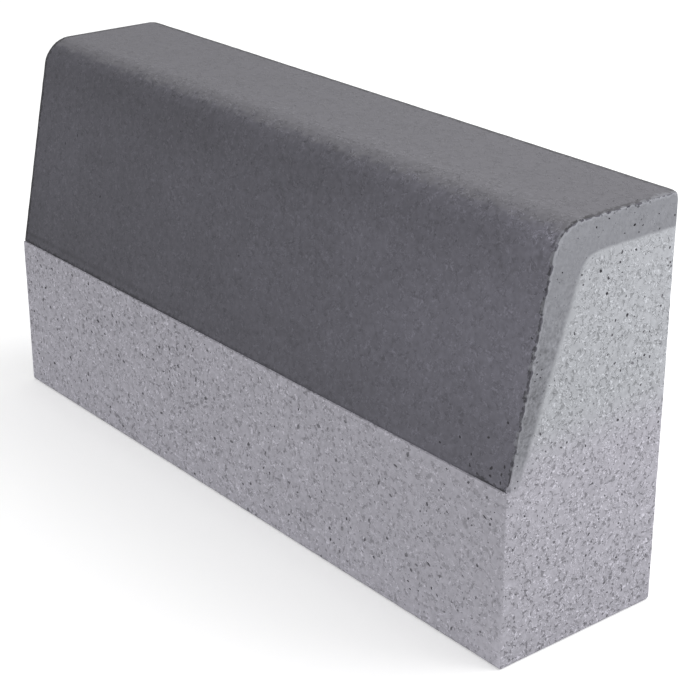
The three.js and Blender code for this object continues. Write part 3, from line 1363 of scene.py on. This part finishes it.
@dataclass
class KerbStone:
    """The kerb stone: one casting, shown as its backing and its facing."""

    section: Section
    sharp_angle: float = math.radians(32.0)
    flat_weight: int = 80
    end_depth: float = 0.6
    end_normal: float = 0.75

    def build(self) -> list[Object]:
        """Makes, dresses and declares both pieces.

        Returns:
            The backing and the facing.
        """
        stone = CastStone(self.section).build()
        for skin in Skin:
            stone.data.materials.append(bpy.data.materials.new(skin.name.lower()))
        voids = AirVoids(self.section)
        cutter = voids.build()
        stone.data = combined(stone, cutter, "DIFFERENCE")
        parting = LayerParting(self.section).build()
        pieces = [
            self._piece("cast_backing", Layer.BACKING, combined(stone, parting, "DIFFERENCE")),
            self._piece("cast_facing", Layer.FACING, combined(stone, parting, "INTERSECT")),
        ]
        for helper in (stone, cutter, parting):
            bpy.data.objects.remove(helper)
        log.info("%d air voids opened", len(voids.voids))
        return pieces

    def _piece(self, name: str, layer: Layer, mesh: Mesh) -> Object:
        """Scales a layer's mesh to metres and gives it its materials, body and node.

        The shading is weighted by area, so that the flats stay flat right up to their small arrises.

        Args:
            name: the piece's name.
            layer: the layer that it stands for.
            mesh: its mesh in millimetres.

        Returns:
            The finished piece.
        """
        mesh.name = name
        self._mark_ends(mesh)
        mesh.transform(Matrix.Diagonal((METRES_PER_MM, METRES_PER_MM, METRES_PER_MM, 1.0)))
        mesh.shade_smooth()
        mesh.set_sharp_from_angle(angle=self.sharp_angle)
        for skin, material in zip(Skin, self._skins(layer)):
            mesh.materials[skin] = material
        while len(mesh.materials) > len(Skin):
            mesh.materials.pop()
        piece = bpy.data.objects.new(name, mesh)
        bpy.context.scene.collection.objects.link(piece)
        piece.data = with_modifier(piece, "WEIGHTED_NORMAL", keep_sharp=True, weight=self.flat_weight)
        piece.data.name = name
        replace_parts(piece, layer.value)
        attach(piece, BODY)
        piece.data.calc_loop_triangles()
        log.info("%s: %d triangles", name, len(piece.data.loop_triangles))
        return piece

    def _mark_ends(self, mesh: Mesh) -> None:
        """Marks the faces of the two ends, so that they get the ends' material.

        Args:
            mesh: a layer's mesh in millimetres.
        """
        s = self.section
        for polygon in mesh.polygons:
            x = polygon.center.x
            at_end = min(abs(x - s.left), abs(x - s.right)) < self.end_depth
            upright = abs(polygon.normal.x) > self.end_normal
            if at_end and upright and polygon.material_index == Skin.MOULDED:
                polygon.material_index = Skin.CUT_END

    def _skins(self, layer: Layer) -> list[Material]:
        """Makes a layer's three materials.

        Args:
            layer: the layer.

        Returns:
            Its materials, in the order of Skin.
        """
        moulded, mix, void_mix, shade = {
            Layer.BACKING: (
                MouldedBacking, "semi_dry_backing_concrete", "backing_concrete", BACKING_SHADED_VOID,
            ),
            Layer.FACING: (MouldedFacing, "dark_fine_facing_mortar", "facing_mortar", FACING_SHADED_VOID),
        }[layer]
        skin = moulded(ConcreteNodes(f"{mix}_pressed_in_a_steel_mould"), self.section)
        end = StruckEnd(ConcreteNodes(f"struck_off_end_of_{layer.value}"), self.section)
        # The void walls take the darker grey: painted shade in the pits.
        void_wall = MouldedBacking(
            ConcreteNodes(f"void_wall_in_{void_mix}"), self.section,
            relief_mm=VOID_RELIEF_MM, shade=shade, grain=EDGE_GRAIN,
        )
        return [skin.build(), end.build(), void_wall.build()]


# --- The studio ---


@dataclass
class Studio:
    """A pale floor, a soft overhead lamp, an even surround and the camera."""

    sky_strength: float = 0.97
    floor_half_width: float = 12.0
    floor_glow: float = 0.35
    lamp_place: Triple = (0.8, 1.0, 1.75)
    lamp_aim: Triple = (0.0, 0.0, 0.0)
    lamp_width: float = 1.6
    lamp_power: float = 26.0
    camera_place: Triple = (0.8519, -0.6549, 0.5543)
    camera_aim: Triple = (0.032, 0.011, 0.0995)
    focal_length_mm: float = 94.3
    sensor_mm: float = 36.0

    def build(self) -> None:
        """Makes the floor, the world, the lamp and the camera."""
        self._floor()
        self._world()
        self._lamp()
        self._camera()
        bpy.context.scene.view_settings.view_transform = "Standard"

    def _seen(self, nodes: Nodes) -> Node:
        """Tells the rays that show the surroundings from those that light the stone.

        Args:
            nodes: the nodes that need it.

        Returns:
            1 on camera, glossy and transmission rays, and 0 on the rest.
        """
        path = nodes.add("LightPath").outputs
        mirrored = nodes.add("Math MAXIMUM", path["Is Camera Ray"], path["Is Glossy Ray"])
        return nodes.add("Math MAXIMUM", mirrored, path["Is Transmission Ray"])

    def _floor(self) -> None:
        """A pale matt floor that glows a little to the camera and keeps the stone's shadow."""
        bm = bmesh.new()
        bmesh.ops.create_grid(bm, x_segments=1, y_segments=1, size=self.floor_half_width)
        floor = as_object(bm, "studio_floor")
        material = bpy.data.materials.new("pale_painted_floor")
        nodes = Nodes(material)
        paint = nodes.add("BsdfDiffuse", FLOOR_GREY)
        glow_level = nodes.add("Math MULTIPLY", self._seen(nodes), self.floor_glow)
        glow = nodes.add("Emission", Strength=glow_level)
        nodes.add("OutputMaterial", nodes.add("AddShader", paint, glow))
        floor.data.materials.append(material)

    def _world(self) -> None:
        """White where it is seen, and a soft even light where it lights the stone."""
        world = bpy.data.worlds.new("studio_surround")
        bpy.context.scene.world = world
        nodes = Nodes(world)
        light = nodes.add("Background", Strength=self.sky_strength)
        white = nodes.add("Background", WHITE, 1.0)
        nodes.add("OutputWorld", nodes.add("MixShader", self._seen(nodes), light, white))

    def _lamp(self) -> None:
        """One large soft lamp overhead, to the right of the stone and a little behind it."""
        light = bpy.data.lights.new("overhead_softbox", "AREA")
        light.shape = "SQUARE"
        light.size = self.lamp_width
        light.energy = self.lamp_power
        self._aimed(light, self.lamp_place, self.lamp_aim)

    def _camera(self) -> None:
        """The camera, looking down at the front and the right end."""
        camera = bpy.data.cameras.new("studio_camera")
        camera.lens = self.focal_length_mm
        camera.sensor_width = self.sensor_mm
        bpy.context.scene.camera = self._aimed(camera, self.camera_place, self.camera_aim)

    def _aimed(self, data: Camera | Light, place: Triple, aim: Triple) -> Object:
        """Puts a lamp or a camera at a place and points it at another.

        Args:
            data: the lamp or the camera.
            place: where it goes.
            aim: what it points at.

        Returns:
            Its object.
        """
        made = bpy.data.objects.new(data.name, data)
        made.location = place
        made.rotation_euler = (Vector(aim) - Vector(place)).to_track_quat("-Z", "Y").to_euler()
        bpy.context.scene.collection.objects.link(made)
        return made


def main() -> None:
    """Builds the stone and the studio, and reports each piece."""
    logging.basicConfig(level=logging.INFO, format="%(name)s: %(message)s")
    for piece in KerbStone(Section.from_frame()).build():
        log.info("%s stands for %s", piece.name, ", ".join(piece["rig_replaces"]))
    Studio().build()


if __name__ == "__main__":
    main()
